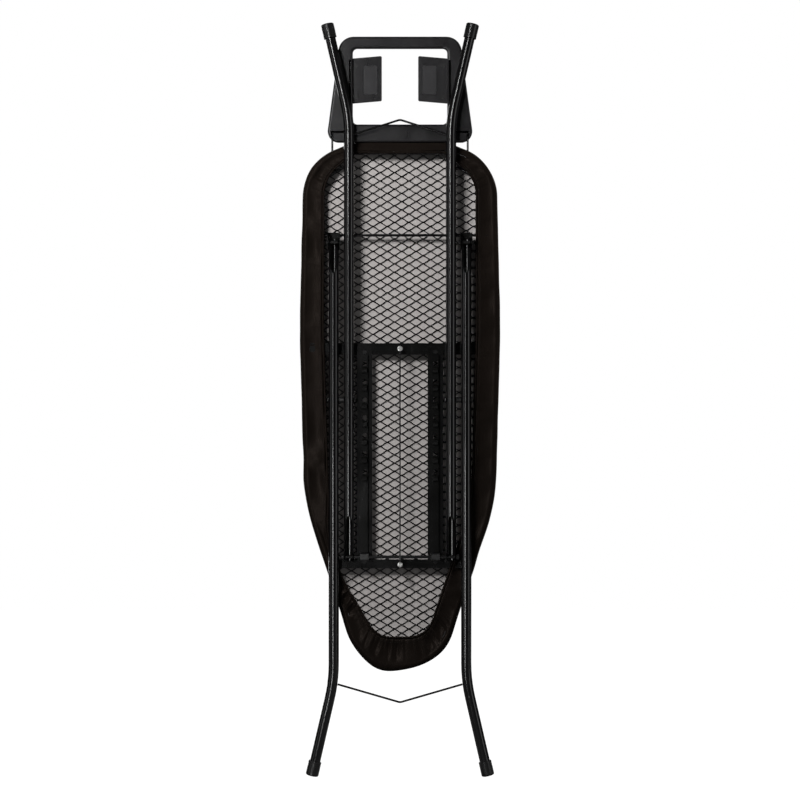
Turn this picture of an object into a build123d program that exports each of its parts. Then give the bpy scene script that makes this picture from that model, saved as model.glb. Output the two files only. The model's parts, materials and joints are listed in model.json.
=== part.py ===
"""Folding ironing board, folded flat and standing on end, with its iron rest at the top.

Frame: +Z runs up the length of the board towards the iron rest, X runs across it, and +Y is the way
the ironing surface faces.  The legs are folded against the -Y side.  The origin is on the floor, under
the middle of the bounding box.  Depths are measured from the plane of the leg tubes towards +Y.
"""

from build123d import *

import math
import os

os.makedirs("parts", exist_ok=True)

# ---------------------------------------------------------------- driving dimensions, millimetres
OVERALL_HEIGHT = 1462.0  # from the outer feet to the inner feet, folded
PIVOT_ARM = 305.0  # from the crossing of the legs to each board end of a leg

TUBE_R = 10.0
TUBE_WALL = 1.2
OUTER_X = 128.5  # centre of an outer leg tube
INNER_X = 99.0  # centre of an inner leg tube
SPLAY = 13.0  # degrees that the feet turn outwards
BEND_HEIGHT = 186.0  # from the floor to the corner of the foot bend
BEND_R = 300.0
LUG = 11.0  # tube beyond its pin, rounded about the pin
OUTER_NOTCH = 60.0  # open front of the flattened end, from the pin
INNER_NOTCH = 80.0

CAP_R = 12.5
CAP_GRIP = 22.0  # length of cap over the tube
CAP_FLOOR = 6.0  # rubber beyond the tube's end
CAP_EDGE = 3.0  # rounding of the cap's end
BRACE_WIRE_R = 2.0

PIN_R = 3.0
RUNNING = 0.06  # radial clearance of a pin in a moving tube

COVER_T = 1.2
RIM_R = 7.5
RIM_WALL = 1.2
FELT_T = 6.0
MESH_T = 2.0

HEM_D = 12.5  # depth of the hem's outer face
RIM_D = HEM_D + COVER_T + 0.5 + RIM_R  # centre of the rim tube
MESH_D = RIM_D + RIM_R - MESH_T
FELT_D = RIM_D + RIM_R + 0.1
COVER_TOP_D = FELT_D + FELT_T + 0.1 + COVER_T  # ironing surface
RIM_INSET = COVER_T + 0.5 + RIM_R  # rim centre, in from the cover's outline

# Half outlines of the cover and of the opening inside its hem: corner (x, z) and corner radius.
COVER_CORNERS = [((187, 1225), 100), ((195.5, 868), 1500), ((186.3, 532), 370), ((78.7, 206), 108)]
HEM_CORNERS = [((150, 1201), 72), ((151, 868), 1500), ((141, 525), 370), ((53, 267), 52)]

# ---------------------------------------------------------------- derived places
LEG_Y = (CAP_R - COVER_TOP_D) / 2  # puts the bounding box's middle at Y 0
CROSS_Z = OVERALL_HEIGHT / 2
OUTER_PIN_Z = CROSS_Z + PIVOT_ARM
INNER_PIN_Z = CROSS_Z - PIVOT_ARM
SIN_S = math.sin(math.radians(SPLAY))
COS_S = math.cos(math.radians(SPLAY))
FOOT_DROP = (CAP_R - CAP_EDGE) * SIN_S + CAP_EDGE * (1 - COS_S)  # cap's lowest point below its end
SIDES = {"left": -1, "right": 1}


def at_depth(depth):
    """The plane whose local x and y are the board's X and Z, at that depth from the leg tubes."""
    return Plane.XZ.offset(-(LEG_Y + depth))


def save(part, name):
    part.part.label = name
    export_step(part.part, f"parts/{name}.step")


def board_outline(half, inset=0.0):
    """The closed outline of a half list of corners, moved in by inset, as lines with tangent arcs."""
    right = [Vector(*corner) for corner, _ in half]
    corners = right + [Vector(-c.X, c.Y) for c in reversed(right)]
    radii = [radius - inset for _, radius in half]
    moved = []
    for before, corner, after in zip(corners[-1:] + corners[:-1], corners, corners[1:] + corners[:1]):
        normal_in = (corner - before).normalized().rotate(Axis.Z, -90)
        normal_out = (after - corner).normalized().rotate(Axis.Z, -90)
        shift = (normal_in + normal_out) * (inset / (1 + normal_in.dot(normal_out)))
        moved.append(tuple(corner + shift)[:2])
    return FilletPolyline(*moved, radius=radii + radii[::-1], close=True)


def x_rod(x_from, x_to, z, radius, depth=0.0, mode=Mode.ADD):
    """A round rod along X, inside the current part."""
    with BuildSketch(Plane.YZ.offset(x_from)) as disc:
        with Locations((LEG_Y + depth, z)):
            Circle(radius)
    extrude(disc.sketch, amount=x_to - x_from, mode=mode)


def wire_along(depth, points, radius, bend):
    """A round wire through (x, z) points, lying in one plane, with rounded corners."""
    with BuildLine(at_depth(depth)) as path:
        if len(points) > 2:
            FilletPolyline(*points, radius=bend)
        else:
            Line(*points)
    with BuildSketch(Plane(origin=path.line @ 0, z_dir=path.line % 0)) as disc:
        Circle(radius)
    sweep(disc.sketch, path=path.line)


# ---------------------------------------------------------------- legs
def foot_plane(x, way, side):
    """The plane of a leg tube's foot end, facing outwards along the tube."""
    floor_z = 0 if way < 0 else OVERALL_HEIGHT
    cap_end = Vector(
        side * (x + (BEND_HEIGHT - FOOT_DROP) * SIN_S / COS_S), LEG_Y, floor_z - way * FOOT_DROP
    )
    outwards = Vector(side * SIN_S, 0, way * COS_S)
    return Plane(origin=cap_end - outwards * CAP_FLOOR, z_dir=outwards)


def leg_tube(x, way, side, pin_z, notch):
    """A bent leg tube. way is the direction in Z from its pin to its foot."""
    foot = foot_plane(x, way, side).origin
    bend_z = BEND_HEIGHT if way < 0 else OVERALL_HEIGHT - BEND_HEIGHT
    centre = side * x
    with BuildPart() as tube:
        with BuildLine(at_depth(0)) as path:
            FilletPolyline(
                (centre, pin_z - way * LUG), (centre, bend_z), (foot.X, foot.Z), radius=BEND_R
            )
        with BuildSketch(Plane(origin=path.line @ 0, z_dir=path.line % 0)):
            Circle(TUBE_R)
            Circle(TUBE_R - TUBE_WALL, mode=Mode.SUBTRACT)
        sweep(path=path.line)
        # The end is rounded about its pin, so that it turns clear of the board.
        with BuildSketch(Plane.YZ.offset(centre)):
            with Locations((LEG_Y, pin_z - way * LUG)):
                Rectangle(3 * TUBE_R, 2 * LUG)
            with Locations((LEG_Y, pin_z)):
                Circle(LUG, mode=Mode.SUBTRACT)
        extrude(amount=TUBE_R + 1, both=True, mode=Mode.SUBTRACT)
        # The front wall of the end is pressed open into an arch.
        half_width = 0.75 * TUBE_R
        arch = 2.2 * TUBE_R
        shoulder = notch - arch
        with BuildSketch(at_depth(-TUBE_R - 1)):
            with Locations((centre, pin_z + way * (shoulder - LUG - 2) / 2)):
                Rectangle(2 * half_width, shoulder + LUG + 2)
            with Locations((centre, pin_z + way * shoulder)):
                Ellipse(half_width, arch)
        extrude(amount=-0.8 * TUBE_R, mode=Mode.SUBTRACT)
        for z in (pin_z, CROSS_Z):
            x_rod(centre - 2 * TUBE_R, centre + 2 * TUBE_R, z, PIN_R + RUNNING, mode=Mode.SUBTRACT)
    return tube


def foot_cap(x, way, side):
    """A ribbed rubber cap pushed over the foot end of a tube."""
    foot = foot_plane(x, way, side)
    with BuildPart() as cap:
        with BuildSketch(foot.offset(-CAP_GRIP)):
            Circle(CAP_R)
        extrude(amount=CAP_GRIP + CAP_FLOOR)
        fillet(cap.edges().group_by(lambda e: foot.to_local_coords(e.center()).Z)[-1], CAP_EDGE)
        with BuildSketch(foot.offset(-CAP_GRIP)):
            Circle(TUBE_R + 0.05)
        extrude(amount=CAP_GRIP, mode=Mode.SUBTRACT)
        # Two shallow grooves below the mouth.
        for back in (CAP_GRIP - 4, CAP_GRIP - 8):
            with BuildSketch(foot.offset(-back)):
                Circle(CAP_R)
                Circle(CAP_R - 0.6, mode=Mode.SUBTRACT)
            extrude(amount=1.5, mode=Mode.SUBTRACT)
    return cap


def brace_wire(x, way, rise, end_z, end_gap):
    """The shallow V of wire that ties a pair of legs together near their feet."""
    reach = x - TUBE_R + end_gap
    with BuildPart() as wire:
        wire_along(
            0,
            [(-reach, end_z), (0, end_z + way * rise), (reach, end_z)],
            BRACE_WIRE_R,
            6 * BRACE_WIRE_R,
        )
    return wire


# An outer tube has begun its bend where the brace meets it, so that brace is a little longer.
LEG_SETS = {
    "outer": dict(x=OUTER_X, way=-1, pin_z=OUTER_PIN_Z, notch=OUTER_NOTCH, brace=(35, 179, 2.4)),
    "inner": dict(x=INNER_X, way=1, pin_z=INNER_PIN_Z, notch=INNER_NOTCH, brace=(28, 1246, -0.8)),
}
for set_name, leg in LEG_SETS.items():
    for side_name, side in SIDES.items():
        tube = leg_tube(leg["x"], leg["way"], side, leg["pin_z"], leg["notch"])
        save(tube, f"{set_name}_leg_tube_{side_name}")
        save(foot_cap(leg["x"], leg["way"], side), f"{set_name}_foot_cap_{side_name}")
    rise, end_z, end_gap = leg["brace"]
    save(brace_wire(leg["x"], leg["way"], rise, end_z, end_gap), f"{set_name}_leg_brace_wire")

# ---------------------------------------------------------------- leg crossing
RIVET_HEAD_R = 6.0
RIVET_HEAD_T = 2.6
HEAD_GAP = 0.2
with BuildPart() as cross_rivets:
    for side in SIDES.values():
        inside = side * (INNER_X - TUBE_R - HEAD_GAP)
        outside = side * (OUTER_X + TUBE_R + HEAD_GAP)
        x_rod(inside, outside, CROSS_Z, PIN_R)
        x_rod(inside - side * RIVET_HEAD_T, inside, CROSS_Z, RIVET_HEAD_R)
        x_rod(outside, outside + side * RIVET_HEAD_T, CROSS_Z, RIVET_HEAD_R)
    ends = cross_rivets.faces().filter_by(Axis.X).filter_by(lambda f: f.area > 100)
    rims = [e for f in ends for e in f.edges() if e.radius > RIVET_HEAD_R - 0.1 and not f.inner_wires()]
    fillet(rims, 0.7 * RIVET_HEAD_T)
save(cross_rivets, "cross_pivot_rivets")

with BuildPart() as spacers:
    for side in SIDES.values():
        start = side * (INNER_X + TUBE_R + HEAD_GAP)
        end = side * (OUTER_X - TUBE_R - HEAD_GAP)
        x_rod(start, end, CROSS_Z, RIVET_HEAD_R)
        x_rod(start, end, CROSS_Z, PIN_R + 0.03, mode=Mode.SUBTRACT)
        middle = (start + end) / 2
        with BuildSketch(Plane.YZ.offset(middle)):
            with Locations((LEG_Y, CROSS_Z)):
                Circle(RIVET_HEAD_R)
                Circle(RIVET_HEAD_R - 1, mode=Mode.SUBTRACT)
        extrude(amount=0.8, both=True, mode=Mode.SUBTRACT)
save(spacers, "cross_pivot_spacers")

# ---------------------------------------------------------------- sliding axle
AXLE_END_X = INNER_X + TUBE_R + 4
with BuildPart() as axle:
    x_rod(-AXLE_END_X, AXLE_END_X, INNER_PIN_Z, PIN_R)
save(axle, "slide_axle")

with BuildPart() as push_caps:
    for side in SIDES.values():
        start = side * (INNER_X + TUBE_R + HEAD_GAP)
        x_rod(start, side * (AXLE_END_X + 1.6), INNER_PIN_Z, RIVET_HEAD_R - 0.5)
        x_rod(start, side * (AXLE_END_X + 0.05), INNER_PIN_Z, PIN_R + 0.02, mode=Mode.SUBTRACT)
save(push_caps, "axle_push_caps")

# ---------------------------------------------------------------- board frame
CHANNEL_D = 15.0  # front of the cross channels
CHANNEL_BACK_D = MESH_D - 0.3
UPPER_CHANNEL = (819.0, 841.0)
LOWER_CHANNEL = (403.0, 420.0)
SHEET_T = 1.5
ROD_R = 2.5
CROSS_ROD_Z = OUTER_PIN_Z + 15
CROSS_ROD_D = 17.0
REST_ROD_R = 2.0
REST_ROD_X = 97.0
SIDE_WIRE_X = 132.0

with BuildPart() as rim:
    with BuildLine(at_depth(RIM_D)) as rim_path:
        board_outline(COVER_CORNERS, RIM_INSET)
    start = Plane(origin=rim_path.line @ 0, z_dir=rim_path.line % 0)
    for radius, mode in ((RIM_R, Mode.ADD), (RIM_R - RIM_WALL, Mode.SUBTRACT)):
        with BuildSketch(start):
            Circle(radius)
        sweep(path=rim_path.line, mode=mode)
    # The rods of the iron rest pass through the top of the rim.
    for x in (REST_ROD_X, SIDE_WIRE_X):
        for side in SIDES.values():
            with BuildSketch(Plane.XY.offset(1180)):
                with Locations((side * x, LEG_Y + RIM_D)):
                    Circle(REST_ROD_R + 0.1)
            extrude(amount=60, mode=Mode.SUBTRACT)
save(rim, "board_rim")


def inside_rim(depth, gap=0.4):
    """Keeps of the current part only what lies between the rim's inner sides."""
    with BuildSketch(at_depth(depth - 5)) as inside:
        with BuildLine():
            board_outline(COVER_CORNERS, RIM_INSET + RIM_R + gap)
        make_face()
    extrude(inside.sketch, amount=-40, mode=Mode.INTERSECT)


def cross_channel(z_low, z_high):
    """A pressed steel channel across the board, open towards the mesh, with two swages."""
    middle = (z_low + z_high) / 2
    depth_middle = (CHANNEL_D + CHANNEL_BACK_D) / 2
    with BuildPart() as channel:
        with BuildSketch(Plane.YZ.offset(-200)):
            with Locations((LEG_Y + depth_middle, middle)):
                Rectangle(CHANNEL_BACK_D - CHANNEL_D, z_high - z_low)
            with Locations((LEG_Y + depth_middle + SHEET_T, middle)):
                Rectangle(CHANNEL_BACK_D - CHANNEL_D, z_high - z_low - 2 * SHEET_T, mode=Mode.SUBTRACT)
            for z in (z_low + 4, z_high - 4):
                with Locations((LEG_Y + CHANNEL_D, z)):
                    Rectangle(1.4, 2.0, mode=Mode.SUBTRACT)
        extrude(amount=400)
        inside_rim(CHANNEL_D)
        with BuildSketch(at_depth(CHANNEL_D - 1)):
            with Locations((0, middle), *[(s * RACK_X, middle_rivet(z_low, z_high)) for s in (-1, 1)]):
                Circle(SCREW_R + 0.05)
        extrude(amount=-(SHEET_T + 2), mode=Mode.SUBTRACT)
    return channel


# ---------------------------------------------------------------- height racks
RACK_X = 69.0
RACK_HALF = 15.0
STRIP_HALF = 6.2
STRIP_D = 8.4  # front of the raised strip
TONGUE = 9.0  # length of rack that laps onto a channel
TOOTH_TIP_D = PIN_R + 0.4
TOOTH_PITCH = 35.0
TEETH = 7
FIRST_TOOTH_Z = 572.0
SCREW_R = 2.5


def middle_rivet(z_low, z_high):
    """The height of a rack rivet in a channel, in the middle of the lapping tongue."""
    inner_edge = z_high if z_high < CROSS_Z else z_low
    return inner_edge + (-TONGUE / 2 if z_high < CROSS_Z else TONGUE / 2)


def height_rack(x):
    """A pressed rack: a hat section with seven hooked teeth that hold the sliding axle."""
    z_low, z_high = LOWER_CHANNEL[1], UPPER_CHANNEL[0]
    with BuildPart() as rack:
        with BuildSketch(Plane.XY.offset(z_low)):
            with Locations((x, LEG_Y + CHANNEL_D - SHEET_T / 2)):
                Rectangle(2 * RACK_HALF, SHEET_T)
            with Locations((x, LEG_Y + (STRIP_D + CHANNEL_D) / 2)):
                Rectangle(2 * STRIP_HALF, CHANNEL_D - STRIP_D)
            with Locations((x, LEG_Y + (STRIP_D + CHANNEL_D) / 2 + SHEET_T)):
                Rectangle(2 * (STRIP_HALF - SHEET_T), CHANNEL_D - STRIP_D, mode=Mode.SUBTRACT)
        extrude(amount=z_high - z_low)
        for z in (z_low - TONGUE / 2, z_high + TONGUE / 2):
            with BuildSketch(at_depth(CHANNEL_D - SHEET_T)):
                with Locations((x, z)):
                    Rectangle(2 * RACK_HALF, TONGUE)
            extrude(amount=-SHEET_T)
        tooth_zs = [FIRST_TOOTH_Z + i * TOOTH_PITCH for i in range(TEETH)]
        with BuildSketch(Plane.YZ.offset(x - 4.5)):
            for z in tooth_zs:
                with BuildLine():
                    Polyline(
                        (LEG_Y + STRIP_D + 0.1, z),
                        (LEG_Y + TOOTH_TIP_D + 1.2, z + 2),
                        (LEG_Y + TOOTH_TIP_D, z + 6),
                        (LEG_Y + TOOTH_TIP_D, z + 10),
                        (LEG_Y + STRIP_D + 0.1, z + 13),
                        close=True,
                    )
                make_face()
        extrude(amount=9)
        with BuildSketch(at_depth(STRIP_D - 1)):
            for z in tooth_zs:
                with Locations((x, z + 19)):
                    RectangleRounded(8, 9, 2)
            for z in (z_low - TONGUE / 2, z_high + TONGUE / 2):
                with Locations((x, z)):
                    Circle(SCREW_R + 0.05)
        extrude(amount=-12, mode=Mode.SUBTRACT)
    return rack


save(cross_channel(*UPPER_CHANNEL), "upper_cross_channel")
save(cross_channel(*LOWER_CHANNEL), "lower_cross_channel")
for side_name, side in SIDES.items():
    save(height_rack(side * RACK_X), f"height_rack_{side_name}")

with BuildPart() as rack_rivets:
    for side in SIDES.values():
        for channel in (UPPER_CHANNEL, LOWER_CHANNEL):
            spot = (side * RACK_X, middle_rivet(*channel))
            with BuildSketch(at_depth(CHANNEL_D - SHEET_T)):
                with Locations(spot):
                    Circle(SCREW_R)
            extrude(amount=-(2 * SHEET_T + 0.5))
            with BuildSketch(at_depth(CHANNEL_D - SHEET_T)):
                with Locations(spot):
                    Circle(1.6 * SCREW_R)
            extrude(amount=1.4)
save(rack_rivets, "rack_rivets")

# ---------------------------------------------------------------- outer leg pivots
EAR_GAP = 0.5
BRACKET_D = 13.0
BRACKET_Z = (OUTER_PIN_Z - 14, OUTER_PIN_Z + 20)
EAR_TIP_D = -8.0


def pivot_bracket(x):
    """A U-shaped bracket that holds the end of an outer leg between two ears."""
    inner_half = TUBE_R + EAR_GAP
    outer_half = inner_half + SHEET_T
    length = BRACKET_D + SHEET_T - EAR_TIP_D
    with BuildPart() as bracket:
        with BuildSketch(Plane.XY.offset(BRACKET_Z[0])):
            with Locations((x, LEG_Y + EAR_TIP_D + length / 2)):
                Rectangle(2 * outer_half, length)
            with Locations((x, LEG_Y + EAR_TIP_D + length / 2 - SHEET_T)):
                Rectangle(2 * inner_half, length, mode=Mode.SUBTRACT)
        extrude(amount=BRACKET_Z[1] - BRACKET_Z[0])
        front_edges = bracket.edges().filter_by(Axis.X).group_by(Axis.Y)[0]
        fillet(front_edges, 9)
        x_rod(x - 2 * TUBE_R, x + 2 * TUBE_R, OUTER_PIN_Z, PIN_R + 0.02, mode=Mode.SUBTRACT)
    return bracket


for side_name, side in SIDES.items():
    save(pivot_bracket(side * OUTER_X), f"pivot_bracket_{side_name}")

with BuildPart() as pivot_pins:
    for side in SIDES.values():
        half = TUBE_R + EAR_GAP + SHEET_T
        inside, outside = side * (OUTER_X - half), side * (OUTER_X + half)
        x_rod(inside, outside, OUTER_PIN_Z, PIN_R)
        x_rod(inside - side * 2.4, inside, OUTER_PIN_Z, RIVET_HEAD_R - 1)
        x_rod(outside, outside + side * 2.4, OUTER_PIN_Z, RIVET_HEAD_R - 1)
save(pivot_pins, "outer_leg_pivot_pins")

with BuildPart() as cross_rod:
    x_rod(-180, 180, CROSS_ROD_Z, ROD_R, CROSS_ROD_D)
    inside_rim(CROSS_ROD_D)
save(cross_rod, "pivot_cross_rod")

# ---------------------------------------------------------------- wire that keeps the axle down
KEEPER_R = 1.4
KEEPER_D = -(PIN_R + KEEPER_R + 0.2)
LOOP_R = SCREW_R + KEEPER_R + 0.15
SCREW_ZS = (sum(LOWER_CHANNEL) / 2, sum(UPPER_CHANNEL) / 2)
with BuildPart() as keeper:
    wire_along(KEEPER_D, [(0, SCREW_ZS[0] + LOOP_R), (0, SCREW_ZS[1] - LOOP_R)], KEEPER_R, 0)
    for z in SCREW_ZS:
        with BuildSketch(Plane.XY.offset(z)):
            with Locations((LOOP_R, LEG_Y + KEEPER_D)):
                Circle(KEEPER_R)
        revolve(axis=Axis((0, LEG_Y, z), (0, 1, 0)), revolution_arc=360)
save(keeper, "axle_keeper_wire")

with BuildPart() as keeper_screws:
    head_d = KEEPER_D - KEEPER_R - 0.1
    for z in SCREW_ZS:
        with BuildSketch(at_depth(head_d)):
            with Locations((0, z)):
                Circle(SCREW_R)
        extrude(amount=-(CHANNEL_D + SHEET_T + 1.5 - head_d))
        with BuildSketch(at_depth(head_d)):
            with Locations((0, z)):
                Circle(2.1 * SCREW_R)
        extrude(amount=2.4)
    heads = keeper_screws.faces().group_by(Axis.Y)[0]
    fillet(heads.edges(), 1.6)
    with BuildSketch(at_depth(head_d - 2.4)):
        for z in SCREW_ZS:
            with Locations((0, z)):
                Circle(1.3)
    extrude(amount=-1.2, mode=Mode.SUBTRACT)
save(keeper_screws, "keeper_wire_screws")

# ---------------------------------------------------------------- plastic glides on the axle
GLIDE_HALF_Z = 7.0
SKIRT_T = 1.7
for side_name, side in SIDES.items():
    x = side * RACK_X
    outer_half = STRIP_HALF + 0.4 + SKIRT_T
    with BuildPart() as glide:
        with BuildSketch(Plane.XY.offset(INNER_PIN_Z - GLIDE_HALF_Z)):
            front, bridge_back, skirt_back = -5.5, TOOTH_TIP_D - 0.4, CHANNEL_D - SHEET_T - 0.5
            with Locations((x, LEG_Y + (front + skirt_back) / 2)):
                Rectangle(2 * outer_half, skirt_back - front)
            with Locations((x, LEG_Y + (bridge_back + skirt_back + 1) / 2)):
                Rectangle(2 * (STRIP_HALF + 0.4), skirt_back + 1 - bridge_back, mode=Mode.SUBTRACT)
        extrude(amount=2 * GLIDE_HALF_Z)
        fillet(glide.edges().filter_by(Axis.X).group_by(Axis.Y)[0], 3)
        x_rod(x - 2 * outer_half, x + 2 * outer_half, INNER_PIN_Z, PIN_R + RUNNING, mode=Mode.SUBTRACT)
    save(glide, f"rack_glide_{side_name}")

# ---------------------------------------------------------------- expanded-metal top
DIAMOND_W, DIAMOND_H = 28.0, 16.2
STRAND = 2.0
MESH_INSET = RIM_INSET + 5.8  # the sheet is welded to the upper inside of the rim


def diamond_holes():
    """The middles of the whole diamonds that fit inside the mesh's edge."""
    with BuildLine() as edge:
        board_outline(COVER_CORNERS, MESH_INSET + STRAND)
    border = [edge.line @ (i / 600) for i in range(601)]
    middles = []
    columns = range(-7, 8)
    rows = range(12, 78)
    for shift in (0.0, 0.5):
        for row in rows:
            for column in columns:
                x, z = (column + shift) * DIAMOND_W, (row + shift) * DIAMOND_H
                tips = [(x + DIAMOND_W / 2, z), (x - DIAMOND_W / 2, z)]
                tips += [(x, z + DIAMOND_H / 2), (x, z - DIAMOND_H / 2)]
                if all(is_inside(border, *tip) for tip in tips):
                    middles.append((x, z))
    return middles


def is_inside(border, x, z):
    """Whether a point lies inside a closed border, by counting its crossings."""
    inside = False
    for a, b in zip(border, border[1:]):
        if (a.Y > z) != (b.Y > z) and x < a.X + (z - a.Y) * (b.X - a.X) / (b.Y - a.Y):
            inside = not inside
    return inside


with BuildPart() as mesh:
    with BuildSketch(at_depth(MESH_D)):
        with BuildLine():
            board_outline(COVER_CORNERS, MESH_INSET)
        make_face()
        side_length = math.hypot(DIAMOND_W, DIAMOND_H) / 2
        shrink = 1 - STRAND * side_length * 2 / (DIAMOND_W * DIAMOND_H)
        w, h = shrink * DIAMOND_W / 2, shrink * DIAMOND_H / 2
        with Locations(*diamond_holes()):
            Polygon((w, 0), (0, h), (-w, 0), (0, -h), mode=Mode.SUBTRACT)
    extrude(amount=-MESH_T)
save(mesh, "mesh_top")

# ---------------------------------------------------------------- felt, cover and its elastic
with BuildPart() as felt:
    with BuildSketch(at_depth(FELT_D)):
        with BuildLine():
            board_outline(COVER_CORNERS, COVER_T + 0.4)
        make_face()
    extrude(amount=-FELT_T)
save(felt, "felt_pad")

with BuildPart() as cover:
    with BuildSketch(at_depth(HEM_D)):
        with BuildLine():
            board_outline(COVER_CORNERS)
        make_face()
    extrude(amount=-(COVER_TOP_D - HEM_D))
    with BuildSketch(at_depth(HEM_D + COVER_T)):
        with BuildLine():
            board_outline(COVER_CORNERS, COVER_T)
        make_face()
    extrude(amount=-(COVER_TOP_D - HEM_D - 2 * COVER_T), mode=Mode.SUBTRACT)
    with BuildSketch(at_depth(HEM_D - 1)):
        with BuildLine():
            board_outline(HEM_CORNERS)
        make_face()
    extrude(amount=-(COVER_T + 2), mode=Mode.SUBTRACT)
    # Slits for the rods of the iron rest.
    for x in (REST_ROD_X, SIDE_WIRE_X):
        for side in SIDES.values():
            with BuildSketch(Plane.XY.offset(1205)):
                with Locations((side * x, LEG_Y + RIM_D)):
                    Circle(REST_ROD_R + 0.4)
            extrude(amount=30, mode=Mode.SUBTRACT)
save(cover, "board_cover")

ELASTIC_R = 1.3
with BuildPart() as elastic:
    with BuildLine(at_depth(HEM_D + COVER_T / 2)) as hem_path:
        board_outline(HEM_CORNERS, ELASTIC_R + 0.1)
    with BuildSketch(Plane(origin=hem_path.line @ 0, z_dir=hem_path.line % 0)):
        Circle(ELASTIC_R)
    sweep(path=hem_path.line)
save(elastic, "cover_elastic")

# ---------------------------------------------------------------- iron rest
REST_D, REST_T = 14.0, 15.0
REST_TOP = (116.5, 1438.0)  # outer corner at the top
REST_BOTTOM = (144.0, 1232.0)
REST_TOP_R, REST_BOTTOM_R = 30.0, 22.0
OPENING_X = 92.0
OPENING_Z = (1267.0, 1415.0)
FLAP_D, FLAP_T = 22.0, 5.0
FLAP_INNER_X = 35.5
FLAP_SLANT = 5.0  # how far the flap's outer end lies below its inner end
FLAP_Z = (1313.5, 1401.0)  # of its inner end
PAD_X, PAD_Z = 57.5, 1354.0
PAD_WINDOW = (27.0, 56.0, 5.0)  # width, height and corner radius
PAD_T = 4.0
PEG_SPOTS = [(85.0, 1383.0), (85.0, 1321.0)]
PEG_R = 2.4
ROD_TOP_Z = 1390.0
SIDE_WIRE_Z = 1252.0

with BuildPart() as rest:
    with BuildSketch(at_depth(REST_D)):
        with BuildLine():
            FilletPolyline(
                REST_TOP,
                REST_BOTTOM,
                (-REST_BOTTOM[0], REST_BOTTOM[1]),
                (-REST_TOP[0], REST_TOP[1]),
                radius=[REST_TOP_R, REST_BOTTOM_R, REST_BOTTOM_R, REST_TOP_R],
                close=True,
            )
        make_face()
        with Locations((0, sum(OPENING_Z) / 2)):
            RectangleRounded(2 * OPENING_X, OPENING_Z[1] - OPENING_Z[0], 9, mode=Mode.SUBTRACT)
    extrude(amount=-REST_T)
    fillet(rest.faces().filter_by(Axis.Y).edges(), 4.5)
    # Two flaps reach into the opening and carry the heat pads.
    for side in SIDES.values():
        with BuildSketch(at_depth(FLAP_D)):
            with BuildLine():
                Polyline(
                    (side * (OPENING_X + 2), FLAP_Z[1] - FLAP_SLANT),
                    (side * FLAP_INNER_X, FLAP_Z[1]),
                    (side * FLAP_INNER_X, FLAP_Z[0]),
                    (side * (OPENING_X + 2), FLAP_Z[0] - FLAP_SLANT),
                    close=True,
                )
            flap_face = make_face()
        extrude(amount=-FLAP_T)
    flap_corners = rest.edges().filter_by(Axis.Y).filter_by(
        lambda e: abs(abs(e.center().X) - FLAP_INNER_X) < 0.1
    )
    fillet(flap_corners, 3)
    with BuildSketch(at_depth(FLAP_D)):
        for side in SIDES.values():
            with Locations((side * PAD_X, PAD_Z)):
                RectangleRounded(PAD_WINDOW[0] + 0.4, PAD_WINDOW[1] + 0.4, PAD_WINDOW[2])
            with Locations(*[(side * x, z) for x, z in PEG_SPOTS]):
                Circle(PEG_R + 0.05)
    extrude(amount=-FLAP_T, mode=Mode.SUBTRACT)
    # Grooves that hold the support rods.
    groove = REST_ROD_R + 0.3
    with BuildSketch(at_depth(REST_D - 1)):
        for side in SIDES.values():
            with Locations((side * REST_ROD_X, (REST_BOTTOM[1] + ROD_TOP_Z - 8) / 2)):
                Rectangle(2 * groove, ROD_TOP_Z - REST_BOTTOM[1] + 12)
            with Locations((side * SIDE_WIRE_X, (REST_BOTTOM[1] + SIDE_WIRE_Z + groove - 8) / 2)):
                Rectangle(2 * groove, SIDE_WIRE_Z + groove - REST_BOTTOM[1] + 8)
            with Locations((side * (REST_ROD_X + SIDE_WIRE_X + groove) / 2, SIDE_WIRE_Z)):
                Rectangle(SIDE_WIRE_X + groove - REST_ROD_X, 2 * groove)
    extrude(amount=-(RIM_D + REST_ROD_R + 0.3 - REST_D + 1), mode=Mode.SUBTRACT)
save(rest, "iron_rest_frame")

for side_name, side in SIDES.items():
    with BuildPart() as pad:
        with BuildSketch(at_depth(FLAP_D - 0.8)):
            with Locations((side * PAD_X, PAD_Z)):
                RectangleRounded(*PAD_WINDOW)
        extrude(amount=-(FLAP_T + 0.8))
        with BuildSketch(at_depth(FLAP_D + FLAP_T)):
            with Locations((side * (PAD_X + 1.5), PAD_Z)):
                RectangleRounded(PAD_WINDOW[0] + 14, PAD_WINDOW[1] + 22, 6)
        extrude(amount=-PAD_T)
        fillet(pad.faces().group_by(Axis.Y)[-1].edges(), 1.2)
    save(pad, f"heat_pad_{side_name}")

with BuildPart() as pegs:
    for side in SIDES.values():
        for x, z in PEG_SPOTS:
            with BuildSketch(at_depth(FLAP_D - 1)):
                with Locations((side * x, z)):
                    Circle(PEG_R + 1.2)
            extrude(amount=-1)
            with BuildSketch(at_depth(FLAP_D)):
                with Locations((side * x, z)):
                    Circle(PEG_R)
            extrude(amount=-FLAP_T)
save(pegs, "heat_pad_pegs")

for side_name, side in SIDES.items():
    with BuildPart() as rod:
        corner_z = 1190
        wire_along(
            RIM_D,
            [(side * 161.5, 1161), (side * REST_ROD_X, corner_z), (side * REST_ROD_X, ROD_TOP_Z)],
            REST_ROD_R,
            12,
        )
    save(rod, f"rest_support_rod_{side_name}")
    with BuildPart() as side_wire:
        wire_along(
            RIM_D,
            [
                (side * SIDE_WIRE_X, 1187),
                (side * SIDE_WIRE_X, SIDE_WIRE_Z),
                (side * (REST_ROD_X + REST_ROD_R + 0.2), SIDE_WIRE_Z),
            ],
            REST_ROD_R,
            2.9,
        )
    save(side_wire, f"rest_side_wire_{side_name}")
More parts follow.
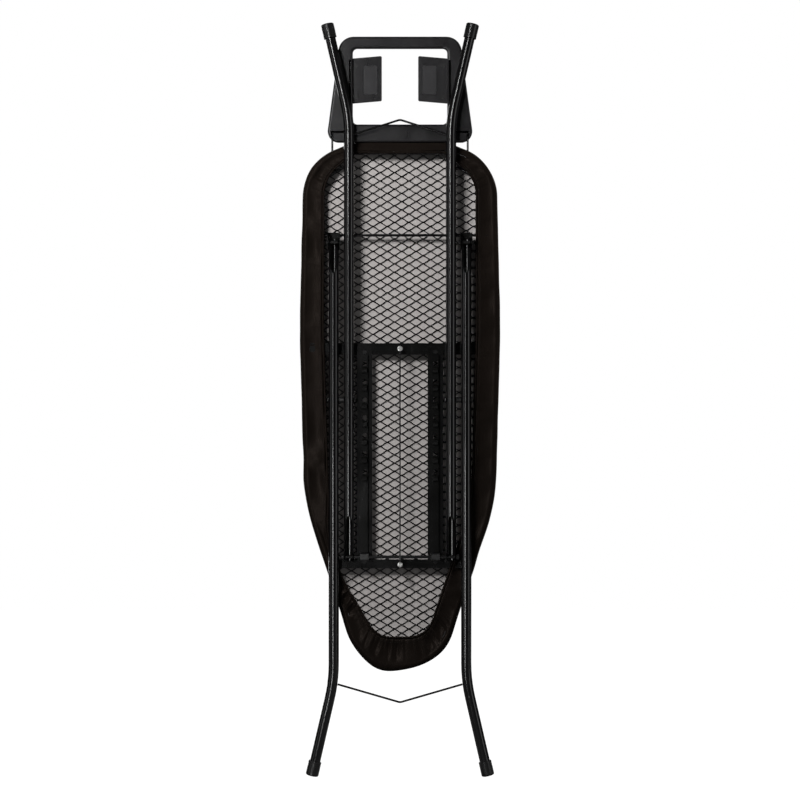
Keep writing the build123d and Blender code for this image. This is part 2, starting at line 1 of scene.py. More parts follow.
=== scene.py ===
"""The looks of the folding ironing board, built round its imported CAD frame.

Everything is in metres in the frame of the CAD part: +Z up the board, +Y the way the ironing surface
faces, and the underside, with the folded legs, towards -Y.
"""

import json
import math

import bmesh
import bpy
import numpy as np
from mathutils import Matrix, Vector

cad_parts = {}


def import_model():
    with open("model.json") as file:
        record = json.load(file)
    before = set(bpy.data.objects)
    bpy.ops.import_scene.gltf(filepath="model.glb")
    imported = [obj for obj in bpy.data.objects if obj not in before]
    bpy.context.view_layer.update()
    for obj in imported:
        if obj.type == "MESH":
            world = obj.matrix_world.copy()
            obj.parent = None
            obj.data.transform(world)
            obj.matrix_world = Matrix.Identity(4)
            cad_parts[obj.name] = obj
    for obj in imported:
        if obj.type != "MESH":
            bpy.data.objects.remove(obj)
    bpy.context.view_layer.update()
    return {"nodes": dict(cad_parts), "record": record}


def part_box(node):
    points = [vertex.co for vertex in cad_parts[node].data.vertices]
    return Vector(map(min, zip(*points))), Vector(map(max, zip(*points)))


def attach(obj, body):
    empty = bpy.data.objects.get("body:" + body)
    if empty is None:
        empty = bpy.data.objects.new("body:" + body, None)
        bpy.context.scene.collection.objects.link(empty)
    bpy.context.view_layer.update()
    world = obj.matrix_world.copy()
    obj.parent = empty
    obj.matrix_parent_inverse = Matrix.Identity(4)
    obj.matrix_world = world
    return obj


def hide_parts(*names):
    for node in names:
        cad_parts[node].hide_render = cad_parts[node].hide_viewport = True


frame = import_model()
MM = 0.001


# ------------------------------------------------------------------------- places from the CAD frame
def middle_depth(node):
    """The Y of the middle of a CAD node."""
    low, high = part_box(node)
    return (low.y + high.y) / 2


cover_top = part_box("board_cover")[1].y  # ironing surface
felt_front, felt_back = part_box("felt_pad")[0].y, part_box("felt_pad")[1].y
rim_y = middle_depth("board_rim")
rim_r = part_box("board_rim")[1].y - rim_y
mesh_y = middle_depth("mesh_top")
elastic_y = middle_depth("cover_elastic")
leg_y = middle_depth("slide_axle")

# ------------------------------------------------------------------------- sizes of the soft pieces
# Half outlines in millimetres: corner (x, z) and corner radius, as in the CAD source.
COVER_CORNERS = [((187, 1225), 100), ((195.5, 868), 1500), ((186.3, 532), 370), ((78.7, 206), 108)]
HEM_CORNERS = [((150, 1201), 72), ((151, 868), 1500), ((141, 525), 370), ((53, 267), 52)]
OUTLINE_STEP = 1.5 * MM
SPINE_Z = (0.36, 1.13)  # the line that the rings of a flat face shrink to

CLOTH_T = 0.9 * MM
RIM_INSET = 9.2 * MM  # rim's centre, in from the cover's outline
ELASTIC_INSET = 1.4 * MM  # elastic's centre, beyond the hem's edge
ELASTIC_R = 1.1 * MM
CASING_R = 2.2 * MM  # of the hem rolled round the elastic
EDGE_R = 5.5 * MM  # from the board's side to the ironing surface
SURFACE_RINGS = 26

# The hem as it is worn on this board.
TOP_RAISED = 12 * MM  # its line, across the middle of the top
NOSE_OPENED = 22 * MM  # its line, outwards at the nose's left
TOP_SLACK = 7.0  # millimetres of cloth past the rim across the top
NOSE_SAG = 7.0  # millimetres of cloth hanging below the nose
NOSE_SAG_X, NOSE_SAG_HALF = -0.042, 0.035  # the sag's middle and half width
FINE_PLEAT, WIDE_PLEAT = 0.0085, 0.0175  # lengths along the hem
FINE_FOLD, WIDE_FOLD = 2.1, 2.9  # millimetres of depth at the elastic
PLEAT_LEAN = 0.9 * MM  # how far the pleats lean along the hem
PLEAT_SEED, LONG_CREASE_SEED, SHORT_CREASE_SEED = 11, 670, 805

FELT_INSET = 1.7 * MM  # felt's edge, in from the cover's outline
FELT_SWELL = 0.5 * MM  # into each diamond of the mesh

STITCH_ROW = 11  # the row of the cover that the stitches lie on
STITCH_PITCH, STITCH_LENGTH, STITCH_R = 3.6 * MM, 2.6 * MM, 0.28 * MM
# Along a stitch: share of its length, rise in millimetres and share of its radius.
STITCH_SHAPE = ((0, -0.15, 0.5), (0.2, 0.15, 1), (0.5, 0.3, 1.1), (0.8, 0.15, 1), (1, -0.15, 0.5))

# ------------------------------------------------------------------------- sizes of the expanded metal
DIAMOND = (28.0 * MM, 16.2 * MM)
LATTICE_X = 3.2 * MM  # a knot's place beside the middle
MESH_INSET = 15.2 * MM  # border of the mesh, in from the cover's outline
STRAND_W, STRAND_T = 1.8 * MM, 1.1 * MM
STRAND_TILT = math.radians(38)
STRAND_SWAY = 0.35 * MM
KNOT_HALF = 2.8 * MM
KNOT_WIDER, KNOT_TAPER = 1.65, -0.45
KNOT_COLUMNS, KNOT_ROWS = range(-15, 16), range(20, 160)
SHORTEST_STUB = 0.05  # share of a strand that is still worth a stub at the border

# ------------------------------------------------------------------------- sizes of the studio
ROOM_LIGHT, ROOM_GLOSS = 0.08, 0.012  # the room's strength on matt faces and in reflections
FLOOR_HALF = 3.4
CAMERA_HEIGHT, CAMERA_BACK = 0.7304, 4.31
CAMERA_LENS, CAMERA_SENSOR = 100, 36


# ------------------------------------------------------------------------- small mesh tools
def add_mesh(name, points, faces, material, smooth=True):
    """A new mesh object that rides on the board."""
    mesh = bpy.data.meshes.new(name)
    mesh.from_pydata([tuple(p) for p in points], [], faces)
    mesh.validate()
    mesh.materials.append(material)
    mesh.polygons.foreach_set("use_smooth", [smooth] * len(mesh.polygons))
    piece = bpy.data.objects.new(name, mesh)
    bpy.context.scene.collection.objects.link(piece)
    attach(piece, "board")
    return piece


def merge_close(piece, distance):
    """Joins points that lie that close together."""
    work = bmesh.new()
    work.from_mesh(piece.data)
    bmesh.ops.remove_doubles(work, verts=work.verts, dist=distance)
    bmesh.ops.recalc_face_normals(work, faces=work.faces)
    work.to_mesh(piece.data)
    work.free()


def grid_faces(rows, columns, closed_rows=False):
    """Quads between the points of a grid of closed rows, each with that many columns."""
    faces = []
    for i in range(rows if closed_rows else rows - 1):
        ahead = (i + 1) % rows
        for j in range(columns):
            beside = (j + 1) % columns
            corners = ((i, j), (i, beside), (ahead, beside), (ahead, j))
            faces.append(tuple(row * columns + column for row, column in corners))
    return faces


def smoothstep(low, high, value):
    """0 below low, 1 above high, and a smooth ramp between."""
    t = np.clip((value - low) / (high - low), 0, 1)
    return t * t * (3 - 2 * t)


def outline(half, counts=None, inset=0.0):
    """A closed outline as points and outward normals in (x, z), with each segment's number of points.

    Two outlines of the same number of corners correspond point for point when counts is passed on.
    """
    right = [np.array(corner, float) * MM for corner, _ in half]
    corners = right + [c * (-1, 1) for c in reversed(right)]
    radii = [radius * MM - inset for _, radius in half]
    radii += radii[::-1]
    n = len(corners)
    ways = [(corners[(i + 1) % n] - corners[i]) for i in range(n)]
    ways = [w / np.linalg.norm(w) for w in ways]
    outs = [np.array((-w[1], w[0])) for w in ways]
    turns = [math.acos(np.clip(ways[i - 1] @ ways[i], -1, 1)) for i in range(n)]
    backs = [radius * math.tan(turn / 2) for radius, turn in zip(radii, turns)]
    moved = []
    for i in range(n):
        a, b = outs[i - 1], outs[i]
        moved.append(corners[i] - (a + b) * inset / (1 + a @ b))

    # Each corner's arc, as (start, end, centre, radius, normals at its ends, length), then its line.
    segments = []
    for i in range(n):
        start, end = moved[i] - ways[i - 1] * backs[i], moved[i] + ways[i] * backs[i]
        centre = start - outs[i - 1] * radii[i]
        segments.append((start, end, centre, radii[i], outs[i - 1], outs[i], radii[i] * turns[i]))
        line_end = moved[(i + 1) % n] - ways[i] * backs[(i + 1) % n]
        length = np.linalg.norm(line_end - end)
        segments.append((end, line_end, None, None, outs[i], outs[i], length))
    if counts is None:
        counts = [max(2, round(segment[-1] / OUTLINE_STEP)) for segment in segments]

    points, normals = [], []
    for (start, end, centre, radius, out_a, out_b, _), count in zip(segments, counts):
        for t in (k / count for k in range(count)):
            if centre is None:
                points.append(start + (end - start) * t)
                normals.append(out_a)
            else:
                angle = math.acos(np.clip(out_a @ out_b, -1, 1))
                normal = math.sin((1 - t) * angle) * out_a + math.sin(t * angle) * out_b
                normals.append(normal / math.sin(angle))
                points.append(centre + normals[-1] * radius)
    return np.array(points), np.array(normals), counts


def along(points):
    """The distance along a closed line at each of its points, and the whole length."""
    steps = np.linalg.norm(np.roll(points, -1, axis=0) - points, axis=1)
    return np.concatenate([[0], np.cumsum(steps)[:-1]]), steps.sum()


def matched(line, counts, points, point_counts):
    """Points of a closed line that face those of another outline, section by section."""

    def marks(outline_points, sections):
        """Where the sections' middles lie, with one more past each end, and the whole length."""
        at, whole = along(outline_points)
        middles = np.concatenate([[0], np.cumsum(sections)[:-1]]) + np.array(sections) / 2
        places = np.interp(middles, np.arange(len(at) + 1), np.append(at, whole))
        return np.concatenate([[places[-1] - whole], places, [places[0] + whole]]), whole

    line_marks, whole = marks(line, counts)
    point_marks, _ = marks(points, point_counts)
    target = np.interp(along(points)[0], point_marks, line_marks) % whole
    at = np.append(along(line)[0], whole)
    closed = np.concatenate([line, line[:1]])
    return np.stack([np.interp(target, at, closed[:, k]) for k in range(2)], axis=1)


def spine_of(row, z):
    """The line that a closed row of a flat face shrinks to, at the row's own depth."""
    return np.stack([np.zeros(len(row)), row[:, 1], np.clip(z, *SPINE_Z)], axis=1)


def ripple(at, whole, shortest, longest, count, rng):
    """A random wave round a closed line, from whole numbers of waves of between two lengths."""
    total = np.zeros(len(at))
    for _ in range(count):
        waves = round(whole / rng.uniform(shortest, longest))
        total += np.sin(2 * math.pi * (waves * at / whole + rng.random()))
    return total / math.sqrt(count / 2)


# ------------------------------------------------------------------------- material tools
def add_node(tree, kind, inputs=None, **settings):
    """A shader node with its settings, and its inputs given as values or as sockets to link."""
    made = tree.nodes.new("ShaderNode" + kind)
    for key, value in settings.items():
        setattr(made, key, value)
    for key, value in (inputs or {}).items():
        if isinstance(value, bpy.types.NodeSocket):
            tree.links.new(value, made.inputs[key])
        else:
            made.inputs[key].default_value = value
    return made


def start_material(name):
    """A material with only a Principled shader: (material, tree, shader, coordinates in metres)."""
    material = bpy.data.materials.new(name)
    material.use_nodes = True
    tree = material.node_tree
    shader = tree.nodes["Principled BSDF"]
    place = tree.nodes.new("ShaderNodeTexCoord").outputs["Object"]
    return material, tree, shader, place


def noise(tree, place, scale, detail=2.0, rough=0.5, stretch=None):
    """A noise value at so many features a metre, stretched by a scale for each axis if given."""
    if stretch is not None:
        place = add_node(tree, "Mapping", {"Vector": place, "Scale": stretch}).outputs[0]
    made = add_node(
        tree, "TexNoise", {"Vector": place, "Scale": scale, "Detail": detail, "Roughness": rough}
    )
    return made.outputs["Fac"]


def bent(tree, place, scale, detail, amount):
    """Coordinates pushed about by a noise, so that threads and fibres don't run dead straight."""
    push = add_node(tree, "TexNoise", {"Vector": place, "Scale": scale, "Detail": detail})
    small = add_node(
        tree, "VectorMath", {0: push.outputs["Color"], 1: (amount,) * 3}, operation="MULTIPLY"
    )
    return add_node(tree, "VectorMath", {0: place, 1: small.outputs[0]}, operation="ADD").outputs[0]


def remap(tree, value, low, high, to_low, to_high):
    """A value moved from one range to another, and kept inside it."""
    made = add_node(
        tree,
        "MapRange",
        {"Value": value, "From Min": low, "From Max": high, "To Min": to_low, "To Max": to_high},
    )
    return made.outputs["Result"]


def maths(tree, operation, a, b=0.0):
    return add_node(tree, "Math", {0: a, 1: b}, operation=operation).outputs[0]


def blend_colour(tree, share, a, b):
    """Colour a where share is 0 and colour b where it is 1."""
    made = add_node(tree, "Mix", data_type="RGBA")
    for index, value in ((0, share), (6, a), (7, b)):
        if isinstance(value, bpy.types.NodeSocket):
            tree.links.new(value, made.inputs[index])
        else:
            made.inputs[index].default_value = value if index == 0 else (*value, 1)
    return made.outputs[2]


def bump(tree, height, distance):
    made = add_node(tree, "Bump", {"Height": height, "Distance": distance, "Strength": 1.0})
    return made.outputs["Normal"]


def connect(tree, shader, **sockets):
    """Links or sets inputs of the shader, whose names are given with _ for a space."""
    for key, value in sockets.items():
        target = shader.inputs[key.replace("_", " ")]
        if isinstance(value, bpy.types.NodeSocket):
            tree.links.new(value, target)
        elif isinstance(value, tuple) and len(value) == 3:
            target.default_value = (*value, 1)
        else:
            target.default_value = value


# ------------------------------------------------------------------------- materials
def enamel(name, tone, gloss, peel=0.000006, wear=0.12):
    """Black stove enamel: faint orange peel, cloudy gloss, dust specks and a few dull scuffs."""
    material, tree, shader, place = start_material(name)
    cloud = noise(tree, place, 14, 3)
    peel_noise = noise(tree, place, 420, 2)
    specks = remap(tree, noise(tree, place, 1900, 1), 0.70, 0.76, 0, 1)
    scuffs = noise(tree, place, 60, 6, 0.7, (1, 1, 0.25))
    scuffed = remap(tree, scuffs, 0.60, 0.72, 0, wear)
    light = tuple(min(1, 2.5 * c + 0.006) for c in tone)
    colour = blend_colour(tree, scuffed, tone, light)
    colour = blend_colour(tree, maths(tree, "MULTIPLY", specks, 0.12), colour, (0.25, 0.24, 0.23))
    rough = remap(tree, cloud, 0.3, 0.7, gloss - 0.03, gloss + 0.05)
    rough = maths(tree, "ADD", rough, maths(tree, "MULTIPLY", scuffed, 0.6))
    connect(
        tree, shader, Base_Color=colour, Roughness=rough, Normal=bump(tree, peel_noise, peel),
        Specular_IOR_Level=0.5,
    )
    return material


def moulded(name, tone, gloss, grain=0.00005, grain_scale=1500):
    """Moulded plastic or rubber: fine grain, faint flow marks and rubbed patches."""
    material, tree, shader, place = start_material(name)
    cells = add_node(tree, "TexVoronoi", {"Vector": place, "Scale": grain_scale})
    fine = noise(tree, place, 2.2 * grain_scale, 2)
    height = maths(tree, "ADD", cells.outputs["Distance"], maths(tree, "MULTIPLY", fine, 0.5))
    flow = noise(tree, place, 18, 4, 0.6, (1, 1, 0.35))
    rubbed = remap(tree, noise(tree, place, 45, 5, 0.65), 0.5, 0.75, 0, 0.35)
    light = tuple(min(1, 2.2 * c + 0.01) for c in tone)
    colour = blend_colour(tree, rubbed, tone, light)
    rough = remap(tree, flow, 0.3, 0.7, gloss - 0.06, gloss + 0.08)
    connect(tree, shader, Base_Color=colour, Roughness=rough, Normal=bump(tree, height, grain))
    return material


def zinc(name):
    """Bright zinc plate with turning marks and a cloudy passivation."""
    material, tree, shader, place = start_material(name)
    cloud = noise(tree, place, 300, 4)
    lines = noise(tree, place, 2500, 2, 0.5, (1, 1, 0.06))
    colour = blend_colour(tree, cloud, (0.62, 0.62, 0.60), (0.82, 0.82, 0.80))
    rough = remap(tree, lines, 0.3, 0.7, 0.22, 0.42)
    connect(
        tree, shader, Base_Color=colour, Roughness=rough, Metallic=1.0, Normal=bump(tree, lines, 0.00003)
    )
    return material


def felt_cloth(name):
    """Needled felt: matted fibres in warm grey with darker and paler flecks."""
    material, tree, shader, place = start_material(name)
    moved = bent(tree, place, 90.0, 2.0, 0.012)
    across = noise(tree, moved, 900, 3, 0.6, (0.2, 1, 1.4))
    down = noise(tree, moved, 900, 3, 0.6, (1.4, 1, 0.2))
    fibres = maths(tree, "MAXIMUM", across, down)
    cloud = noise(tree, place, 25, 3)
    flecks = remap(tree, noise(tree, place, 700, 1), 0.68, 0.74, 0, 1)
    pale = remap(tree, fibres, 0.4, 0.72, 0, 1)
    colour = blend_colour(tree, pale, (0.235, 0.220, 0.213), (0.40, 0.378, 0.367))
    colour = blend_colour(tree, maths(tree, "MULTIPLY", cloud, 0.25), colour, (0.30, 0.28, 0.272))
    colour = blend_colour(tree, maths(tree, "MULTIPLY", flecks, 0.35), colour, (0.12, 0.112, 0.115))
    connect(
        tree, shader, Base_Color=colour, Roughness=0.95, Normal=bump(tree, fibres, 0.0005),
        Sheen_Weight=0.25, Sheen_Roughness=0.6, Specular_IOR_Level=0.2,
    )
    return material


def woven(name, tone, thread=0.00042, gloss=0.33, sheen=0.003):
    """Plain-woven cotton: warp and weft threads, slubs, a dull sheen and lint, with the raised crossings
    painted lighter as a painted highlight.
    """
    material, tree, shader, place = start_material(name)
    split = add_node(tree, "SeparateXYZ", {"Vector": bent(tree, place, 70.0, 3.0, 0.0018)}).outputs
    turns = math.pi / thread
    lay = maths(tree, "ADD", split["X"], split["Y"])
    warp_wave = maths(tree, "SINE", maths(tree, "MULTIPLY", lay, turns))
    weft_wave = maths(tree, "SINE", maths(tree, "MULTIPLY", split["Z"], turns))
    over = maths(tree, "MULTIPLY", warp_wave, weft_wave)
    slub = noise(tree, place, 500, 3, 0.6, (1, 1, 0.15))
    height = maths(tree, "ADD", remap(tree, over, -1, 1, 0, 1), maths(tree, "MULTIPLY", slub, 0.8))
    cloud = noise(tree, place, 9, 3)
    light, dark = tuple(2.4 * c + 0.001 for c in tone), tuple(0.6 * c for c in tone)
    # Painted highlight: the raised weave crossings are painted lighter than the thread, and the slubs'
    # paler yarn is the cloth's own tone.
    colour = blend_colour(tree, remap(tree, height, 0.2, 1.5, 0, 1), tone, light)
    colour = blend_colour(tree, remap(tree, cloud, 0.35, 0.7, 0, 0.35), colour, dark)
    lint = remap(tree, noise(tree, place, 1300, 1), 0.74, 0.79, 0, 0.22)
    colour = blend_colour(tree, lint, colour, (0.10, 0.09, 0.08))
    connect(
        tree, shader, Base_Color=colour, Roughness=gloss, Normal=bump(tree, height, 0.00003),
        Sheen_Weight=sheen, Sheen_Roughness=0.4, Specular_IOR_Level=0.035, Specular_Tint=(1.0, 0.82, 0.72),
    )
    return material


BLACK = (0.0022, 0.0021, 0.0023)
DULL_BLACK = (0.0035, 0.0035, 0.0035)
MATERIALS = {
    "leg_tube_enamel": enamel("leg_tube_enamel", BLACK, 0.16),
    "frame_enamel": enamel("frame_enamel", BLACK, 0.22),
    "mesh_enamel": enamel("mesh_enamel", (0.0022, 0.0020, 0.0020), 0.36, peel=0.00002, wear=0.05),
    "pressed_steel_enamel": enamel("pressed_steel_enamel", (0.0018, 0.0018, 0.0017), 0.2, wear=0.15),
    "wire_enamel": enamel("wire_enamel", BLACK, 0.2),
    "black_fastener": enamel("black_fastener", (0.005, 0.005, 0.005), 0.25, wear=0.5),
    "zinc_screw": zinc("zinc_screw"),
    "axle_steel": enamel("axle_steel", DULL_BLACK, 0.24, wear=0.4),
    "foot_cap_rubber": moulded("foot_cap_rubber", (0.0035, 0.0035, 0.0036), 0.30, 0.00002, 2200),
    "spacer_nylon": moulded("spacer_nylon", DULL_BLACK, 0.38),
    "glide_nylon": moulded("glide_nylon", DULL_BLACK, 0.38),
    "rest_plastic": moulded("rest_plastic", (0.0055, 0.0052, 0.0058), 0.32, 0.00003, 1300),
    "heat_pad_silicone": moulded("heat_pad_silicone", (0.014, 0.0136, 0.0145), 0.34, 0.00003, 2000),
    "rest_peg": moulded("rest_peg", (0.007, 0.007, 0.007), 0.35),
    "felt": felt_cloth("felt"),
    "cover_cloth": woven("cover_cloth", (0.0034, 0.0025, 0.0020)),
    "elastic_band": woven("elastic_band", (0.003, 0.0028, 0.0025), thread=0.0009, gloss=0.6),
    "hem_thread": woven("hem_thread", (0.006, 0.005, 0.0045), thread=0.0003, gloss=0.4, sheen=0.05),
}

slots = {part["node"]: part["material_slot"] for part in frame["record"]["subparts"]}
for name, node in frame["nodes"].items():
    node.data.materials.clear()
    node.data.materials.append(MATERIALS[slots[name]])


# ------------------------------------------------------------------------- the fitted cover
def top_middle(line):
    """1 across the middle of the board's top, 0 elsewhere."""
    return smoothstep(1.14, 1.19, line[:, 1]) * (1 - smoothstep(0.080, 0.125, np.abs(line[:, 0])))


def as_worn(line):
    """The hem's line as it sits on this board: higher across the top, further out at the nose's left."""
    x, z = line[:, 0], line[:, 1]
    opened = smoothstep(0.28, 0.40, z) * (1 - smoothstep(0.44, 0.56, z)) * (x < 0)
    return line + np.stack([-NOSE_OPENED * opened, TOP_RAISED * top_middle(line)], axis=1)


edge, edge_out, edge_counts = outline(COVER_CORNERS)
plain_hem, _, hem_counts = outline(HEM_CORNERS)
plain_casing, _, _ = outline(HEM_CORNERS, hem_counts, ELASTIC_INSET)
hem = as_worn(matched(plain_hem, hem_counts, edge, edge_counts))
casing = as_worn(matched(plain_casing, hem_counts, edge, edge_counts))
around, perimeter = along(hem)


def gathering(line):
    """How strongly the elastic gathers the hem: most round the nose, some at the top corners."""
    x, z = np.abs(line[:, 0]), line[:, 1]
    nose = 1 - smoothstep(0.30, 0.47, z)
    top = smoothstep(1.10, 1.19, z) * (0.45 + 0.55 * smoothstep(0.02, 0.10, x))
    return 0.12 + 0.88 * nose + 0.50 * top


def pleats(wave, rng):
    """Round-backed pleats with creased valleys, from 0 to 1, of uneven widths about one wave long."""
    slip = 0.55 * ripple(around, perimeter, 3 * wave, 9 * wave, 12, rng)
    slip += 0.8 * ripple(around, perimeter, 30 * wave, 70 * wave, 6, rng)
    turns = round(perimeter / wave)
    return np.abs(np.sin(math.pi * turns * around / perimeter + slip)) ** 0.7


def wrinkles(x, z, shortest, longest, seed):
    """A random wrinkled height over a plane, from straight waves in all directions."""
    rng = np.random.default_rng(seed)
    total, count = np.zeros(len(x)), 16
    for _ in range(count):
        heading, phase = rng.uniform(0, math.pi), rng.uniform(0, 2 * math.pi)
        across = x * math.cos(heading) + z * math.sin(heading)
        total += np.sin(2 * math.pi * across / rng.uniform(shortest, longest) + phase)
    return total / math.sqrt(count / 2)


def creased(x, z):
    """How far the creases of the ironing surface stand up, in millimetres."""
    long_wave = wrinkles(x, z, 0.07, 0.20, LONG_CREASE_SEED)
    short_wave = wrinkles(x, z, 0.035, 0.07, SHORT_CREASE_SEED)
    return 0.1 + 0.9 * np.clip(long_wave - 0.2, 0, 1.6) ** 1.5 + 0.12 * short_wave


def cover_rows():
    """Rows of points round the cover, from the elastic's casing to the spine of the ironing surface.

    Returns the rows and the line of the elastic inside the casing.
    """
    rng = np.random.default_rng(PLEAT_SEED)
    n = len(edge)
    fine = pleats(FINE_PLEAT, rng)
    wide = pleats(WIDE_PLEAT, rng)
    medium = ripple(around, perimeter, 0.018, 0.04, 22, rng)
    broad = ripple(around, perimeter, 0.06, 0.15, 14, rng)
    lean = ripple(around, perimeter, 0.03, 0.08, 12, rng)
    strength = gathering(hem) * (0.85 + 0.25 * ripple(around, perimeter, 0.05, 0.2, 8, rng))
    in_way = casing - edge
    reach = np.linalg.norm(in_way, axis=1)
    in_way = in_way / reach[:, None]
    tangent = np.stack([-edge_out[:, 1], edge_out[:, 0]], axis=1)
    sag = np.exp(-(((edge[:, 0] - NOSE_SAG_X) / NOSE_SAG_HALF) ** 2)) * (edge[:, 1] < 0.3)
    spare = TOP_SLACK * top_middle(edge) + NOSE_SAG * sag
    slack = (spare + 0.7 * (1 + 0.6 * broad) * (0.4 + strength)) * MM
    rows = []

    def fold(t):
        """How far the hem lies in from its highest plane at a share t of the way to the elastic."""
        deep = FINE_FOLD * (1 - fine) * t**1.8 + WIDE_FOLD * (1 - wide) * t**0.8 * (1.2 - 0.45 * t)
        deep = deep * strength + medium * strength * math.sin(math.pi * t)
        loose = (0.9 + 0.8 * strength) * math.sin(math.pi * min(t, 0.9)) + 0.25 * t
        return (deep + (1.1 + broad) * loose) * MM

    def line(inwards, y, folds, shift=0.0):
        """A row that far in from the outline, at depth y plus its folds, slipped along by a shift."""
        inwards = np.broadcast_to(inwards, n)[:, None]
        turned = smoothstep(0, 0.02, inwards)
        way = in_way * turned - edge_out * (1 - turned)
        place = edge + way * inwards + tangent * (lean * shift)[:, None]
        place = place + edge_out * slack[:, None] * (1 - smoothstep(0, RIM_INSET, inwards))
        return np.stack([place[:, 0], np.broadcast_to(y, n) + folds, place[:, 1]], axis=1)

    def over_rim(row, inwards):
        """Keeps a row of the hem in front of the rim's tube."""
        across = np.clip((inwards - RIM_INSET) / rim_r, -1, 1)
        front = rim_y - rim_r * np.sqrt(1 - across**2) - CLOTH_T - 0.2 * MM
        row[:, 1] = np.where(np.abs(across) < 1, np.minimum(row[:, 1], front), row[:, 1])
        return row

    # The casing rolled round the elastic.
    curl = (1.3 * (1 - fine) + 1.0 * (1 - wide)) * strength * MM
    elastic_row = line(reach - curl * 0.6, elastic_y, curl, PLEAT_LEAN)
    for angle in np.linspace(math.radians(200), math.radians(-60), 9):
        inwards = reach - CASING_R * math.cos(angle) - curl * 0.6
        rows.append(line(inwards, elastic_y - CASING_R * math.sin(angle), curl, PLEAT_LEAN))
    # The hem out to the rim.
    high = rim_y - rim_r - CLOTH_T
    for t in np.linspace(1, 0, 20)[1:]:
        inwards = RIM_INSET + (reach - CASING_R - RIM_INSET) * t
        base = high * (1 - t**2) + (elastic_y - CASING_R * 0.9) * t**2
        folded = line(inwards, base, fold(t) * (1 - 0.45 * t**6), PLEAT_LEAN * t)
        rows.append(over_rim(folded, inwards))
    # Round the rim, up the side and over the felt's edge.
    wrap = rim_r + 1.2 * MM
    for angle in np.linspace(-math.pi / 2, 0, 9)[1:]:
        pulled = 0.4 * MM * strength * (1 - wide) * math.sin(angle)
        inwards = RIM_INSET - (wrap + 0.5 * MM) * math.cos(angle)
        rows.append(line(inwards, rim_y + wrap * math.sin(angle), pulled))
    side_top = cover_top - EDGE_R
    for t in (0.33, 0.66):
        rows.append(line(0.35 * MM + 0.12 * MM * broad, rim_y + (side_top - rim_y) * t, 0.0))
    for angle in np.linspace(0, math.pi / 2, 7):
        rows.append(line(EDGE_R * (1 - math.cos(angle)), side_top + EDGE_R * math.sin(angle), 0.0))
    # The ironing surface shrinks to a spine.
    first = rows[-1]
    spine = spine_of(first, edge[:, 1])
    for t in np.linspace(0, 1, SURFACE_RINGS + 1)[1:]:
        ring = first * (1 - t) + spine * t
        ring[:, 1] += creased(ring[:, 0], ring[:, 2]) * min(1, 6 * t) * MM
        ring[:, 1] = np.maximum(ring[:, 1], felt_back + CLOTH_T + 0.1 * MM)
        rows.append(ring)
    return rows, elastic_row


def fitted_cover(rows):
    """The cover as one sheet of cloth with the thickness added by a modifier."""
    faces = grid_faces(len(rows), len(edge))
    piece = add_mesh("fitted_cover", np.concatenate(rows), faces, MATERIALS["cover_cloth"])
    merge_close(piece, 0.05 * MM)
    shell = piece.modifiers.new("cloth", "SOLIDIFY")
    shell.thickness = CLOTH_T
    shell.offset = -1.0
    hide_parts("board_cover")
    return piece


# ------------------------------------------------------------------------- felt pad
def felt_pad():
    """The felt between mesh and cover, which swells a little into each diamond of the mesh."""
    points, outs, _ = outline(COVER_CORNERS, inset=FELT_INSET)
    thick = felt_back - felt_front
    edge_r = 0.38 * thick

    def ring(inwards, y):
        place = points - outs * inwards
        return np.stack([place[:, 0], np.full(len(points), y), place[:, 1]], axis=1)

    def shrunk(first, steps):
        """Rings from a face's border to its spine."""
        spine = spine_of(first, first[:, 2])
        return [first * (1 - t) + spine * t for t in np.linspace(0, 1, steps + 1)[1:]]

    border = ring(edge_r, felt_front)
    under = shrunk(border, 60)
    for row in under:
        a = (row[:, 0] - LATTICE_X) / DIAMOND[0] + row[:, 2] / DIAMOND[1]
        b = (row[:, 0] - LATTICE_X) / DIAMOND[0] - row[:, 2] / DIAMOND[1]
        row[:, 1] -= FELT_SWELL * (np.cos(math.pi * a) * np.cos(math.pi * b)) ** 2
    rows = under[::-1] + [border]
    for angle in np.linspace(-math.pi / 2, math.pi / 2, 9)[1:]:
        depth = (felt_front + felt_back) / 2 + (thick / 2) * math.sin(angle)
        rows.append(ring(edge_r * (1 - math.cos(angle)), depth))
    rows.extend(shrunk(rows[-1], 10))
    faces = grid_faces(len(rows), len(points))
    piece = add_mesh("felt_underlay", np.concatenate(rows), faces, MATERIALS["felt"])
    merge_close(piece, 0.02 * MM)
    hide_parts("felt_pad")


